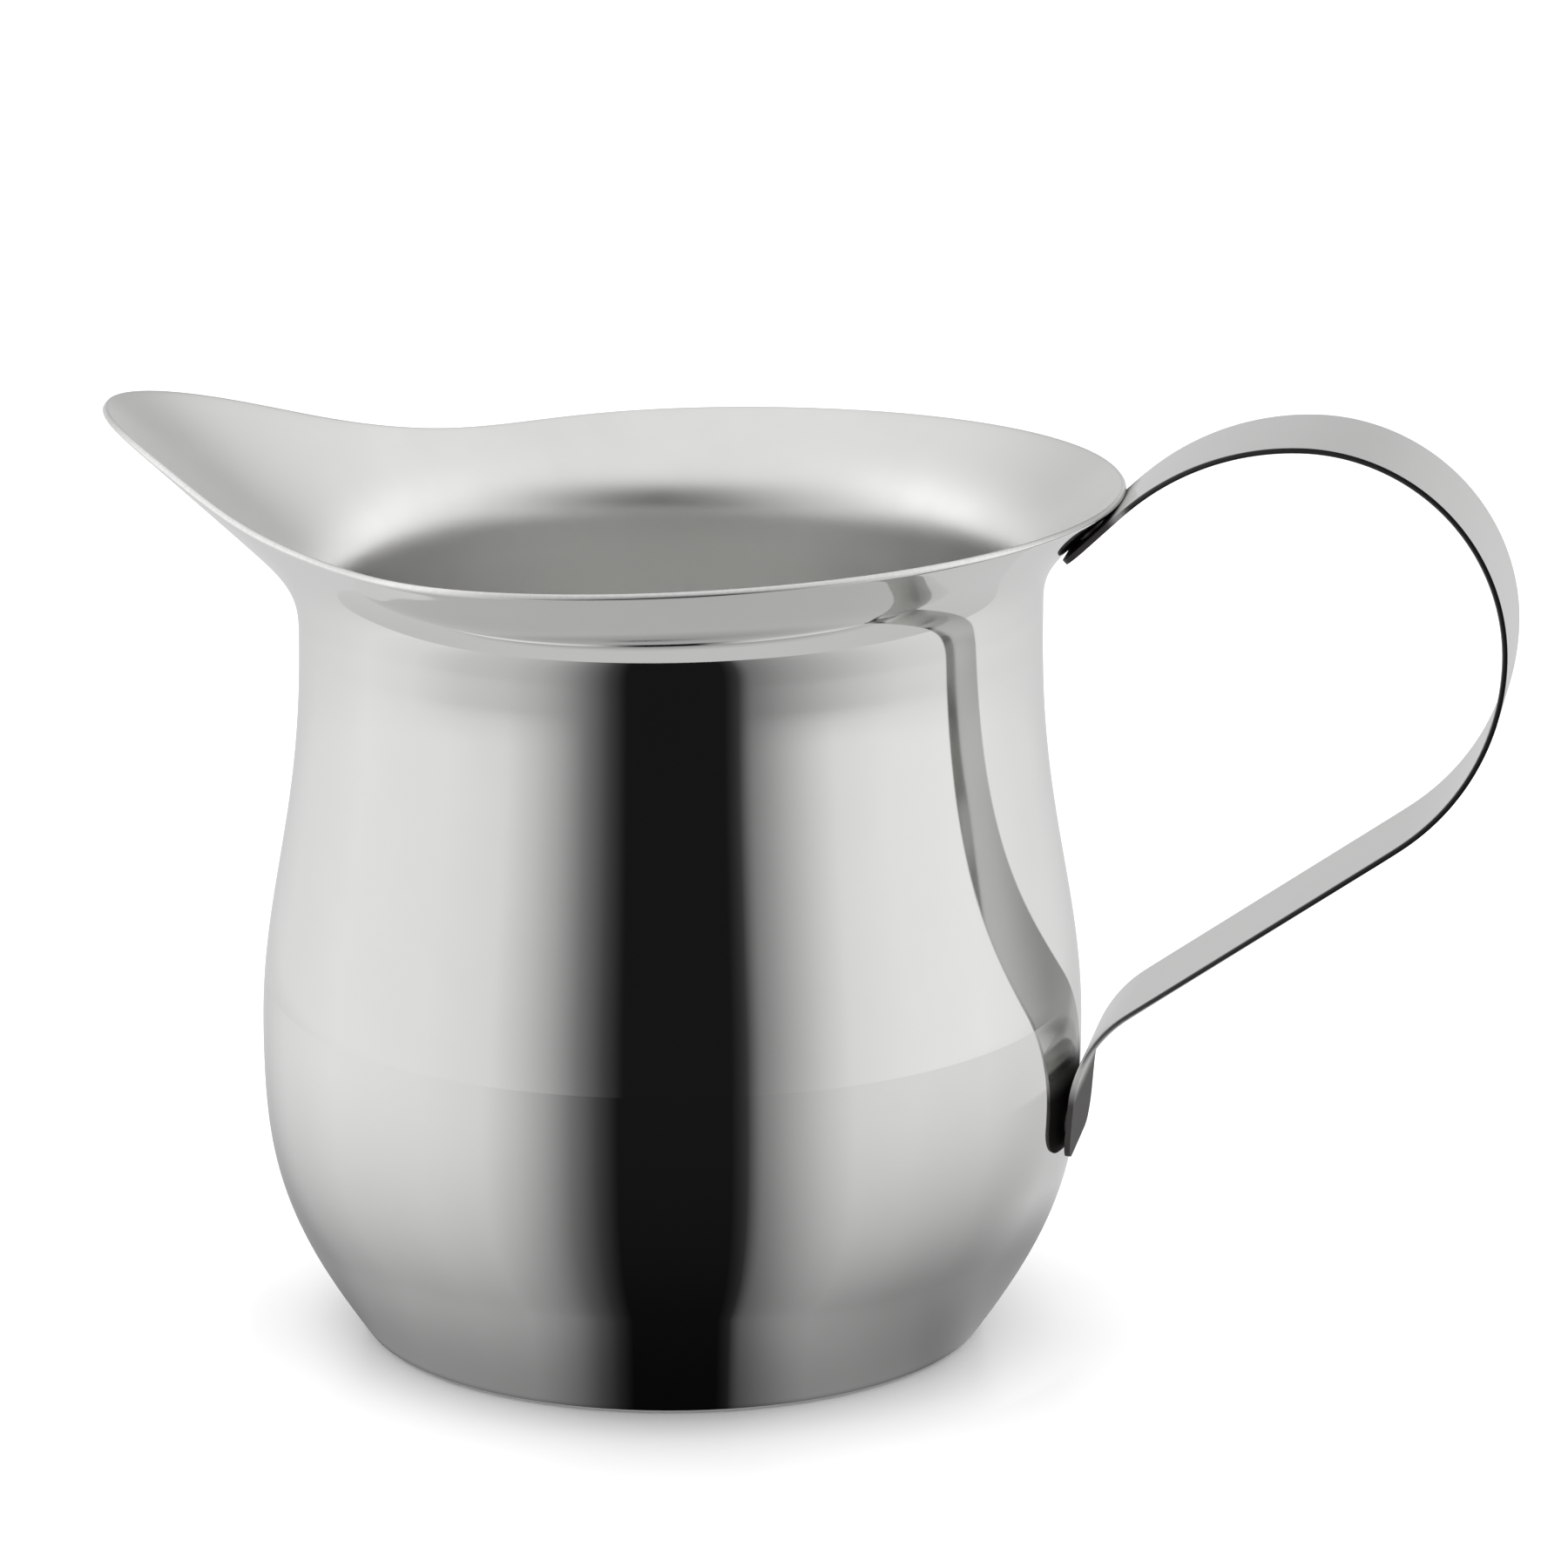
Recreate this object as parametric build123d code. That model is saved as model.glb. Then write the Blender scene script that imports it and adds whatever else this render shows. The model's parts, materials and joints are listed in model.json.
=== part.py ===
from build123d import *
import os
from math import asin, atan2, ceil, cos, exp, hypot, radians, sin, sqrt

os.makedirs("parts", exist_ok=True)

# A polished steel cream jug: a drawn shell with a pulled spout, and a flat strap handle spot-welded
# to it. Millimetres. The body axis is +Z, the base lies at z = 0, the handle is towards +X and the
# spout towards -X.

# Shell, turned part
base_r = 26.3           # radius of the flat base, measured to its sharp corner
base_corner = 1.6       # outside rounding between the base and the wall
foot_lean = 36.0        # lean of the wall from the vertical where it leaves the base, degrees
foot_pull = 13.6        # how far that lean carries on before the wall turns up
belly_r = 35.0          # widest radius
belly_z = 27.0          # height of the widest ring
belly_ease = 11.0       # how far the wall stays upright on each side of the widest ring
neck_r = 31.4           # radius of the narrowest ring
neck_z = 60.0           # height of the narrowest ring
neck_ease = 15.0        # how far below the narrowest ring the wall is already upright
wall = 0.6              # sheet thickness of the shell

# Shell, flared mouth
throat = 3.3            # height of the upright stretch between the narrowest ring and the flare
flare_bend = 7.0        # height over which the wall turns from upright to the slope of the lip
lip_height = 7.2        # height of the rim beside the spout, above the start of the flare
lip_overhang = 7.9      # how far the round part of the rim stands out past the narrowest ring
mouth_shift = 1.0       # how far the round of the rim sits towards the spout
rim_rise = 2.8          # how much higher the rim is at the handle
rim_pinch = 3.0         # how far the rim is drawn in on each side of the spout
pinch_at = 48.5         # where it is drawn in most, degrees from the spout
pinch_spread = 19.0     # width of the drawn-in stretch, degrees

# Shell, pulled spout
spout_reach = 8.5           # how far the spout stands out past the round of the rim
spout_spread = 18.6     # width of the spout in plan, degrees
spout_lift = 8.2        # how much higher the tip is than the rim beside it
lift_spread = 29.4      # width of the raised stretch, degrees
keel_drop = 2.6         # how much lower the flare starts under the spout
keel_spread = 32.0      # width of that lower stretch, degrees

# Handle, a flat strap bent to a loop
strap_w = 14.4
strap_t = 0.5
strap_corner = 2.6      # corner rounding at both ends of the strap
top_tab = 4.3           # height of the stretch that lies under the flare
top_run = 0.5           # straight stretch that leaves the flare
shoulder_r = 21.5       # bend from the top run to the top of the loop
crown_r = 17.0          # bend from the top of the loop to its outermost point
heel_r = 20.0           # bend from the outermost point to the lower run
toe_r = 11.0            # bend from the lower run to the lower tab
lower_tab = 5.0         # length of the stretch that lies on the belly
lower_tab_z = 20.0      # height of its middle

# Spot welds
seat_gap = 0.03         # clearance between the strap and the shell
weld_r = 1.3            # radius of one weld nugget
weld_depth = 0.25       # how far a nugget reaches into each sheet
weld_half_pitch = 2.4   # distance of a nugget from the middle of the strap

# How finely the curved sheet is stationed
ring_step = 7.5         # degrees between stations round a ring
ring_gap = 2.0          # greatest height between two rings
wall_stations = 8       # stations along each of the two turned curves

flare_z = neck_z + throat
rim_z = flare_z + lip_height
mouth_r = neck_r + lip_overhang


def bump(angle, spread):
    """Smooth hump that is 1 at the spout and fades over the given spread, both in degrees."""
    return exp(-(angle / spread) ** 2)


def from_spout(turn):
    """Angle away from the spout, in degrees, of a direction turned from the handle."""
    return abs((turn % 360.0) - 180.0)


def rim_radius(turn):
    away = from_spout(turn)
    pinch = rim_pinch * bump(away - pinch_at, pinch_spread)
    shift = mouth_shift * cos(radians(turn))
    return mouth_r - shift + spout_reach * bump(away, spout_spread) - pinch


def rim_height(turn):
    rise = rim_rise * (1 + cos(radians(turn))) / 2
    return rim_z + rise + spout_lift * bump(from_spout(turn), lift_spread)


def flare_run(turn, z):
    """Outward run of the lip at a height, for a lip that slopes 45 degrees once it has turned."""
    start = flare_z - keel_drop * bump(from_spout(turn), keel_spread)
    share = min(max((z - start) / flare_bend, 0.0), 1.0)
    turned = flare_bend * (share ** 3 - share ** 4 / 2)
    return turned + max(z - start - flare_bend, 0.0)


def shell_radius(turn, z):
    """Outside radius of the shell above its narrowest ring."""
    slope = (rim_radius(turn) - neck_r) / flare_run(turn, rim_height(turn))
    return neck_r + slope * flare_run(turn, z)


def inside_radius(turn, z):
    """The same for the inside of the sheet, one wall away square to the surface."""
    step = 0.01
    here = shell_radius(turn, z)
    up = (shell_radius(turn, z + step) - shell_radius(turn, z - step)) / (2 * step)
    along = (shell_radius(turn + step, z) - shell_radius(turn - step, z)) / (2 * radians(step) * here)
    return here - wall * sqrt(1 + up ** 2 + along ** 2)


def curve_point(controls, t, inset):
    """Point (r, z) of a cubic turned curve, moved inwards square to it."""
    weights = ((1 - t) ** 3, 3 * t * (1 - t) ** 2, 3 * t ** 2 * (1 - t), t ** 3)
    pulls = (3 * (1 - t) ** 2, 6 * t * (1 - t), 3 * t ** 2)
    r = sum(w * c[0] for w, c in zip(weights, controls))
    z = sum(w * c[1] for w, c in zip(weights, controls))
    dr = sum(p * (b[0] - a[0]) for p, a, b in zip(pulls, controls, controls[1:]))
    dz = sum(p * (b[1] - a[1]) for p, a, b in zip(pulls, controls, controls[1:]))
    length = hypot(dr, dz)
    return r - inset * dz / length, z + inset * dr / length


lean = radians(foot_lean)
bowl_curve = (
    (base_r, 0.0),
    (base_r + foot_pull * sin(lean), foot_pull * cos(lean)),
    (belly_r, belly_z - belly_ease),
    (belly_r, belly_z),
)
waist_curve = (
    (belly_r, belly_z),
    (belly_r, belly_z + belly_ease),
    (neck_r, neck_z - neck_ease),
    (neck_r, neck_z),
)


def turned_solid(inset):
    """The turned part as a filled solid, up to the narrowest ring."""
    bowl = [curve_point(bowl_curve, k / wall_stations, inset) for k in range(wall_stations + 1)]
    waist = [curve_point(waist_curve, k / wall_stations, inset) for k in range(wall_stations + 1)]
    start = bowl[0]
    side = [
        Line((0, 0, start[1]), (start[0], 0, start[1])),
        Spline(*[(r, 0, z) for r, z in bowl + waist[1:]],
               tangents=((sin(lean), 0, cos(lean)), (0, 0, 1))),
        Line((waist[-1][0], 0, neck_z), (0, 0, neck_z)),
        Line((0, 0, neck_z), (0, 0, start[1])),
    ]
    return revolve(Face(Wire(side)), Axis.Z)


def mouth_solid(radius_at):
    """The flared part as a filled solid, from the narrowest ring to above the rim."""
    top = rim_height(180.0) + ring_gap
    count = ceil((top - neck_z) / ring_gap)
    rings = [Wire(Edge.make_circle(radius_at(0.0, neck_z), Plane.XY.offset(neck_z)))]
    turns = [k * ring_step for k in range(round(360 / ring_step))]
    for k in range(1, count + 1):
        z = neck_z + (top - neck_z) * k / count
        points = [(radius_at(t, z) * cos(radians(t)), radius_at(t, z) * sin(radians(t)), z) for t in turns]
        rings.append(Wire(Edge.make_spline(points, periodic=True)))
    return Solid.make_loft(rings)


def above_rim():
    """Everything above the rim, whose edge is one curve in the side view."""
    turns = (180.0, 168.0, 156.0, 142.0, 125.0, 105.0, 80.0, 50.0, 25.0, 0.0)
    reach = 2 * mouth_r
    edge = [Vector(rim_radius(t) * cos(radians(t)), -reach, rim_height(t)) for t in turns]
    left = edge[0] + (edge[0] - edge[1]) * 4
    right = edge[-1] + (edge[-1] - edge[-2]) * 4
    lift = Vector(0, 0, 2 * spout_lift)
    outline = [
        Spline(left, *edge, right),
        Line(right, right + lift),
        Line(right + lift, left + lift),
        Line(left + lift, left),
    ]
    return extrude(Face(Wire(outline)), amount=2 * reach, dir=(0, 1, 0))


def ring_edge(solid, z):
    """The round edge of the turned part that lies at a height."""
    return solid.edges().filter_by_position(Axis.Z, z - wall / 10, z + wall / 10)


# Handle path, as the middle line of the strap in the XZ plane
def wall_seat(z):
    """Point on the outside of the turned part at a height, and the direction straight out of it."""
    curve = bowl_curve if z < belly_z else waist_curve
    low, high = 0.0, 1.0
    while high - low > 1e-9:
        middle = (low + high) / 2
        if curve_point(curve, middle, 0.0)[1] < z:
            low = middle
        else:
            high = middle
    r, height = curve_point(curve, low, 0.0)
    r_out, height_out = curve_point(curve, low, -1.0)
    return Vector(r, 0, height), Vector(r_out - r, 0, height_out - height)


seat_offset = seat_gap + strap_t / 2

rim_tip = Vector(rim_radius(0.0), 0, rim_height(0.0))
lip_foot_z = rim_tip.Z - top_tab
lip_foot = Vector(shell_radius(0.0, lip_foot_z), 0, lip_foot_z)
along_lip = (rim_tip - lip_foot).normalized()
under_lip = Vector(along_lip.Z, 0, -along_lip.X)
upper_contact = (rim_tip + lip_foot) / 2

path_start = lip_foot + under_lip * seat_offset
shoulder_start = path_start + along_lip * ((rim_tip - lip_foot).length + top_run)
shoulder_centre = shoulder_start + under_lip * shoulder_r
crown_top = shoulder_centre + Vector(0, 0, shoulder_r)
crown_centre = crown_top - Vector(0, 0, crown_r)
outermost = crown_centre + Vector(crown_r, 0, 0)
heel_centre = outermost - Vector(heel_r, 0, 0)

lower_contact, off_belly = wall_seat(lower_tab_z)
down_belly = Vector(off_belly.Z, 0, -off_belly.X)
tab_middle = lower_contact + off_belly * seat_offset
tab_top = tab_middle - down_belly * (lower_tab / 2)
tab_foot = tab_middle + down_belly * (lower_tab / 2)
toe_centre = tab_top + off_belly * toe_r

# The lower run is straight and touches the heel bend and the toe bend, which lie on its two sides.
between_bends = toe_centre - heel_centre
run_angle = atan2(between_bends.Z, between_bends.X) - asin((heel_r + toe_r) / between_bends.length)
off_run = Vector(-sin(run_angle), 0, cos(run_angle))
run_start = heel_centre + off_run * heel_r
run_end = toe_centre - off_run * toe_r


def arc_middle(centre, start, end):
    """Middle point of the arc between two points round a centre."""
    between = (start - centre).normalized() + (end - centre).normalized()
    return centre + between.normalized() * (start - centre).length


def strap_path():
    return Wire([
        Line(path_start, shoulder_start),
        ThreePointArc(shoulder_start, arc_middle(shoulder_centre, shoulder_start, crown_top), crown_top),
        ThreePointArc(crown_top, arc_middle(crown_centre, crown_top, outermost), outermost),
        ThreePointArc(outermost, arc_middle(heel_centre, outermost, run_start), run_start),
        Line(run_start, run_end),
        ThreePointArc(run_end, arc_middle(toe_centre, run_end, tab_top), tab_top),
        Line(tab_top, tab_foot),
    ])


def strap_solid():
    path = strap_path()
    section = Plane(origin=path_start, x_dir=(0, 1, 0), z_dir=along_lip) * Rectangle(strap_w, strap_t)
    strap = sweep(section, path=path)
    corners = []
    for end, direction in ((path_start, along_lip), (tab_foot, down_belly)):
        corners += strap.edges().filter_by(lambda e: abs(e.length - strap_t) < strap_t / 10
                                           and (e.center() - end).length < strap_w
                                           and abs((e.center() - end).dot(direction)) < strap_t / 10)
    return fillet(corners, strap_corner)


def weld_nuggets(contact, outward):
    """Two nuggets side by side, each reaching as far into the shell as into the strap."""
    falls_away = contact.X - sqrt(contact.X ** 2 - weld_half_pitch ** 2)
    nuggets = []
    for side in (-1, 1):
        start = contact + Vector(0, side * weld_half_pitch, 0) - outward * (weld_depth + falls_away)
        length = 2 * weld_depth + seat_gap + falls_away
        nuggets.append(Plane(origin=start, z_dir=outward) * extrude(Circle(weld_r), amount=length))
    return nuggets


upper_welds = weld_nuggets(upper_contact, under_lip)
lower_welds = weld_nuggets(lower_contact, off_belly)

outer = turned_solid(0.0) + mouth_solid(shell_radius)
inner = turned_solid(wall) + mouth_solid(inside_radius)
inner = split(inner, Plane.XY.offset(wall), keep=Keep.TOP)
outer = fillet(ring_edge(outer, 0.0), base_corner)
inner = fillet(ring_edge(inner, wall), base_corner - wall / 2)
shell = outer - inner - above_rim()
strap = strap_solid()
for nugget in upper_welds + lower_welds:
    shell = shell - nugget
    strap = strap - nugget

export_step(shell, "parts/body.step")
export_step(strap, "parts/handle.step")
export_step(Compound(upper_welds), "parts/upper_welds.step")
export_step(Compound(lower_welds), "parts/lower_welds.step")
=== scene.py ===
"""Looks of a polished steel cream jug, built around its CAD frame. Metres, +Z up, handle towards +X."""

import json
from math import asin, atan2, ceil, cos, exp, pi, radians, sin, sqrt, tan

import bmesh
import bpy
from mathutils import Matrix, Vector


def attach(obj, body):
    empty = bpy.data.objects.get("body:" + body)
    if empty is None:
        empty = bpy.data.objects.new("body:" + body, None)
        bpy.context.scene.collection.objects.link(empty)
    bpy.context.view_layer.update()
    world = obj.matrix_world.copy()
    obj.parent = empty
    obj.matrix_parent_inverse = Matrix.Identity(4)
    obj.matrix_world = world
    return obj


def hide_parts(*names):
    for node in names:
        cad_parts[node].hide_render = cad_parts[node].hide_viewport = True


bl_info = {
    "name": "Cream Jug",
    "version": (1, 0, 0),
    "blender": (4, 5, 0),
    "location": "3D View > Sidebar > Cream Jug",
    "description": "Builds a polished steel cream jug with a welded strap handle, and a small studio for it",
    "category": "Object",
}

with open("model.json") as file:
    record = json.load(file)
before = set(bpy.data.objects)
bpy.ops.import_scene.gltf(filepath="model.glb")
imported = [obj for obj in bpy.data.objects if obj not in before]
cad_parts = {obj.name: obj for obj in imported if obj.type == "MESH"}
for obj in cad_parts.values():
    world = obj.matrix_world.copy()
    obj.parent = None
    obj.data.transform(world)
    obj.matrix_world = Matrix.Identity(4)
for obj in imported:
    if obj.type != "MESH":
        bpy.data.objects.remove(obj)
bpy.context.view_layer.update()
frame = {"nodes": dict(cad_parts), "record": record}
finishes = {m["slot"]: m["base_color"] for m in frame["record"]["materials"]}

# How much brighter than the record's colours the inside wall, the inside flare and the strap are made
# On the inside wall and flare this is painted light, lifting the shade inside the bowl
INSIDE_WALL_LIGHT_GAIN = 1.24
INSIDE_FLARE_LIGHT_GAIN = 1.08
STRAP_GAIN = 1.12
# Near-black colour given to both ends of the strap, around the welds
END_BLACK = (0.03, 0.028, 0.026, 1)
# Heights between which the inside's painted light eases from the wall's strong lift to the flare's smaller
# one
INSIDE_LIGHT_EASES = (0.0605, 0.0655)
# Point in the bowl that the shell's faces look away from
BOWL_MIDDLE = Vector((0, 0, 0.03))


def length(name, description, default):
    return bpy.props.FloatProperty(name=name, description=description, default=default, min=0.0,
                                   precision=5, subtype="DISTANCE", unit="LENGTH")


def angle(name, description, degrees):
    return bpy.props.FloatProperty(name=name, description=description, default=radians(degrees),
                                   subtype="ANGLE", unit="ROTATION")


def share(name, description, default):
    return bpy.props.FloatProperty(name=name, description=description, default=default, min=0.0,
                                   max=1.0, precision=3, subtype="FACTOR")


class ShellSizes(bpy.types.PropertyGroup):
    base_radius: length("Base radius", "Radius of the flat base, to its sharp corner", 0.0263)
    base_corner: length("Base corner", "Rounding between the base and the wall", 0.0016)
    foot_lean: angle("Foot lean", "Lean of the wall from the vertical where it leaves the base", 36.0)
    foot_pull: length("Foot pull", "How far that lean carries on before the wall turns up", 0.0136)
    belly_radius: length("Belly radius", "Widest radius", 0.035)
    belly_height: length("Belly height", "Height of the widest ring", 0.027)
    belly_ease: length("Belly ease", "How far the wall stays upright beside the widest ring", 0.011)
    neck_radius: length("Neck radius", "Radius of the narrowest ring", 0.0314)
    neck_height: length("Neck height", "Height of the narrowest ring", 0.060)
    neck_ease: length("Neck ease", "How far below the narrowest ring the wall is upright", 0.015)
    wall: length("Wall", "Sheet thickness", 0.0006)
    throat: length("Throat", "Upright stretch between the narrowest ring and the flare", 0.0033)
    flare_bend: length("Flare bend", "Height over which the wall turns outwards", 0.007)
    lip_height: length("Lip height", "Height of the rim beside the spout above the flare's start", 0.0072)
    lip_overhang: length("Lip overhang", "How far the round of the rim stands out past the neck", 0.0079)
    mouth_shift: length("Mouth shift", "How far the round of the rim sits towards the spout", 0.001)
    rim_rise: length("Rim rise", "How much higher the rim is at the handle", 0.0028)
    rim_pinch: length("Rim pinch", "How far the rim is drawn in beside the spout", 0.003)
    pinch_at: angle("Pinch place", "Where the rim is drawn in most, from the spout", 48.5)
    pinch_spread: angle("Pinch spread", "Width of the drawn-in stretch", 19.0)
    spout_reach: length("Spout reach", "How far the spout stands out past the round of the rim", 0.0085)
    spout_spread: angle("Spout spread", "Width of the spout in plan", 18.6)
    spout_lift: length("Spout lift", "How much higher the tip is than the rim beside it", 0.0082)
    lift_spread: angle("Lift spread", "Width of the raised stretch", 29.4)
    keel_drop: length("Keel drop", "How much lower the flare starts under the spout", 0.0026)
    keel_spread: angle("Keel spread", "Width of that lower stretch", 32.0)


class StrapSizes(bpy.types.PropertyGroup):
    width: length("Width", "Width of the strap", 0.0144)
    thickness: length("Thickness", "Thickness of the strap", 0.0005)
    corner: length("Corner", "Rounding of the corners at both ends", 0.0026)
    top_tab: length("Top tab", "Height of the stretch that lies under the lip", 0.0043)
    top_run: length("Top run", "Straight stretch that leaves the lip", 0.0005)
    shoulder_radius: length("Shoulder radius", "Bend from the top run to the top of the loop", 0.0215)
    crown_radius: length("Crown radius", "Bend from the top of the loop outwards", 0.017)
    heel_radius: length("Heel radius", "Bend from the outermost point to the lower run", 0.020)
    toe_radius: length("Toe radius", "Bend from the lower run to the lower tab", 0.011)
    lower_tab: length("Lower tab", "Length of the stretch that lies on the belly", 0.005)
    lower_tab_height: length("Lower tab height", "Height of the middle of the lower tab", 0.020)
    seat_gap: length("Seat gap", "Clearance between the strap and the shell", 0.00003)
    weld_half_pitch: length("Weld half pitch", "Distance of a weld from the strap's middle", 0.0024)
    weld_radius: length("Weld radius", "Radius of one weld mark", 0.0015)


class SteelFinish(bpy.types.PropertyGroup):
    shell_colour: bpy.props.FloatVectorProperty(
        name="Shell colour", description="Reflected colour of the polished shell",
        default=finishes["polished_steel"], size=3, min=0.0, max=1.0, subtype="COLOR")
    strap_colour: bpy.props.FloatVectorProperty(
        name="Strap colour", description="Reflected colour of the handle strip",
        default=finishes["strap_steel"], size=3, min=0.0, max=1.0, subtype="COLOR")
    weld_colour: bpy.props.FloatVectorProperty(
        name="Weld colour", description="Reflected colour of the fused metal",
        default=finishes["weld_steel"], size=3, min=0.0, max=1.0, subtype="COLOR")
    outside_roughness: share("Outside roughness", "Roughness of the outside polish", 0.05)
    inside_roughness: share("Inside roughness", "Roughness of the satin inside", 0.36)
    strap_roughness: share("Strap roughness", "Roughness of the strip", 0.12)


class StudioSettings(bpy.types.PropertyGroup):
    view_turn: angle("View turn", "Turn of the view from straight on, towards the handle", 9.66)
    view_lift: angle("View lift", "How far the view looks down", 14.19)
    view_distance: length("View distance", "Distance from the middle of the view", 0.5901)
    view_lens: bpy.props.FloatProperty(name="Lens", description="Focal length on a 36 mm frame",
                                       default=160.0, min=10.0, unit="CAMERA")
    table_radius: length("Table radius", "How far the table shows in the polish", 0.100)
    screen_radius: length("Screen radius", "Distance of the low screen from the jug's axis", 0.037)
    screen_height: length("Screen height", "Height of the low screen", 0.0295)
    surround: share("Surround", "Brightness of the white surround", 1.0)
    view_target: bpy.props.FloatVectorProperty(
        name="View target", description="Point that the view looks at",
        default=(0.00966, 0.0, 0.04767), size=3, precision=5, subtype="TRANSLATION", unit="LENGTH")


def sizes_of(name):
    return getattr(bpy.context.scene, name)


# Shapes

def bump(turn, spread):
    """Smooth hump that is 1 at no turn and fades over the given spread."""
    return exp(-(turn / spread) ** 2)


def from_spout(turn):
    """Angle away from the spout of a direction turned from the handle."""
    return abs(turn % (2 * pi) - pi)


class ShellShape:
    """The shell's outside as formulas of the direction turned from the handle and the height."""

    def __init__(self, sizes):
        self.sizes = sizes
        self.flare_z = sizes.neck_height + sizes.throat
        self.rim_z = self.flare_z + sizes.lip_height

    def rim_radius(self, turn):
        s = self.sizes
        away = from_spout(turn)
        round_part = s.neck_radius + s.lip_overhang - s.mouth_shift * cos(turn)
        pinch = s.rim_pinch * bump(away - s.pinch_at, s.pinch_spread)
        return round_part + s.spout_reach * bump(away, s.spout_spread) - pinch

    def rim_height(self, turn):
        s = self.sizes
        rise = s.rim_rise * (1 + cos(turn)) / 2
        return self.rim_z + rise + s.spout_lift * bump(from_spout(turn), s.lift_spread)

    def flare_run(self, turn, z):
        s = self.sizes
        start = self.flare_z - s.keel_drop * bump(from_spout(turn), s.keel_spread)
        part = min(max((z - start) / s.flare_bend, 0.0), 1.0)
        turned = s.flare_bend * (part ** 3 - part ** 4 / 2)
        return turned + max(z - start - s.flare_bend, 0.0)

    def radius(self, turn, z):
        """Radius above the narrowest ring."""
        neck = self.sizes.neck_radius
        slope = (self.rim_radius(turn) - neck) / self.flare_run(turn, self.rim_height(turn))
        return neck + slope * self.flare_run(turn, z)

    def bowl_curve(self):
        s = self.sizes
        return (
            (s.base_radius, 0.0),
            (s.base_radius + s.foot_pull * sin(s.foot_lean), s.foot_pull * cos(s.foot_lean)),
            (s.belly_radius, s.belly_height - s.belly_ease),
            (s.belly_radius, s.belly_height),
        )

    def waist_curve(self):
        s = self.sizes
        return (
            (s.belly_radius, s.belly_height),
            (s.belly_radius, s.belly_height + s.belly_ease),
            (s.neck_radius, s.neck_height - s.neck_ease),
            (s.neck_radius, s.neck_height),
        )

    def wall_seat(self, z):
        """Point on the turned wall at a height, and the direction straight out of it."""
        curve = self.bowl_curve() if z < self.sizes.belly_height else self.waist_curve()
        low = 0.0
        high = 1.0
        while high - low > 1e-7:
            middle = (low + high) / 2
            if curve_point(curve, middle)[1] < z:
                low = middle
            else:
                high = middle
        r, height = curve_point(curve, low)
        ahead = curve_point(curve, low + 1e-4)
        along = Vector((ahead[0] - r, 0, ahead[1] - height)).normalized()
        return Vector((r, 0, height)), Vector((along.z, 0, -along.x))


def curve_point(controls, t):
    weights = ((1 - t) ** 3, 3 * t * (1 - t) ** 2, 3 * t ** 2 * (1 - t), t ** 3)
    return (sum(w * c[0] for w, c in zip(weights, controls)),
            sum(w * c[1] for w, c in zip(weights, controls)))


class StrapPath:
    """The strap's middle line: straight stretches and the bends between them."""

    def __init__(self, shell, sizes):
        offset = sizes.seat_gap + sizes.thickness / 2
        rim_tip = Vector((shell.rim_radius(0.0), 0, shell.rim_height(0.0)))
        foot_z = rim_tip.z - sizes.top_tab
        lip_foot = Vector((shell.radius(0.0, foot_z), 0, foot_z))
        along_lip = (rim_tip - lip_foot).normalized()
        under_lip = Vector((along_lip.z, 0, -along_lip.x))
        self.upper_contact = (rim_tip + lip_foot) / 2
        self.upper_out = under_lip

        self.start = lip_foot + under_lip * offset
        self.start_direction = along_lip
        self.top_length = (rim_tip - lip_foot).length + sizes.top_run
        shoulder_start = self.start + along_lip * self.top_length
        self.shoulder_centre = shoulder_start + under_lip * sizes.shoulder_radius
        crown_top = self.shoulder_centre + Vector((0, 0, sizes.shoulder_radius))
        self.crown_centre = crown_top - Vector((0, 0, sizes.crown_radius))
        outermost = self.crown_centre + Vector((sizes.crown_radius, 0, 0))
        self.heel_centre = outermost - Vector((sizes.heel_radius, 0, 0))

        self.lower_contact, off_belly = shell.wall_seat(sizes.lower_tab_height)
        self.lower_out = off_belly
        self.end_direction = Vector((off_belly.z, 0, -off_belly.x))
        tab_middle = self.lower_contact + off_belly * offset
        tab_top = tab_middle - self.end_direction * (sizes.lower_tab / 2)
        self.end = tab_middle + self.end_direction * (sizes.lower_tab / 2)
        self.toe_centre = tab_top + off_belly * sizes.toe_radius

        between = self.toe_centre - self.heel_centre
        reach = sizes.heel_radius + sizes.toe_radius
        run_angle = atan2(between.z, between.x) - asin(reach / between.length)
        self.run_direction = Vector((cos(run_angle), 0, sin(run_angle)))
        self.run_length = sqrt(between.length ** 2 - reach ** 2)
        self.shoulder_turn = atan2(along_lip.z, along_lip.x)
        self.heel_turn = -pi / 2 - (run_angle - 2 * pi if run_angle > 0 else run_angle)
        self.toe_turn = self.heel_turn - atan2(-off_belly.z, off_belly.x)


# Mesh helpers

def new_piece(name, mesh_builder):
    """A new object whose mesh is finished from the given bmesh."""
    mesh = bpy.data.meshes.new(name)
    mesh_builder.to_mesh(mesh)
    mesh_builder.free()
    mesh.shade_smooth()
    piece = bpy.data.objects.new(name, mesh)
    bpy.context.scene.collection.objects.link(piece)
    return piece


def add_modifier(piece, kind, **settings):
    modifier = piece.modifiers.new(kind.title(), kind)
    for key, value in settings.items():
        setattr(modifier, key, value)
    return modifier


def chain(mesh_builder, points):
    """Vertices joined one after another by edges."""
    verts = [mesh_builder.verts.new(p) for p in points]
    edges = [mesh_builder.edges.new(pair) for pair in zip(verts, verts[1:])]
    return verts + edges


def face_outwards(mesh_builder, outwards):
    """Turns the whole surface the right way, judged over all its faces."""
    bmesh.ops.recalc_face_normals(mesh_builder, faces=mesh_builder.faces)
    mesh_builder.normal_update()
    faces = mesh_builder.faces
    if sum(f.calc_area() * f.normal.dot(outwards(f.calc_center_median())) for f in faces) < 0:
        bmesh.ops.reverse_faces(mesh_builder, faces=mesh_builder.faces)


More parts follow.
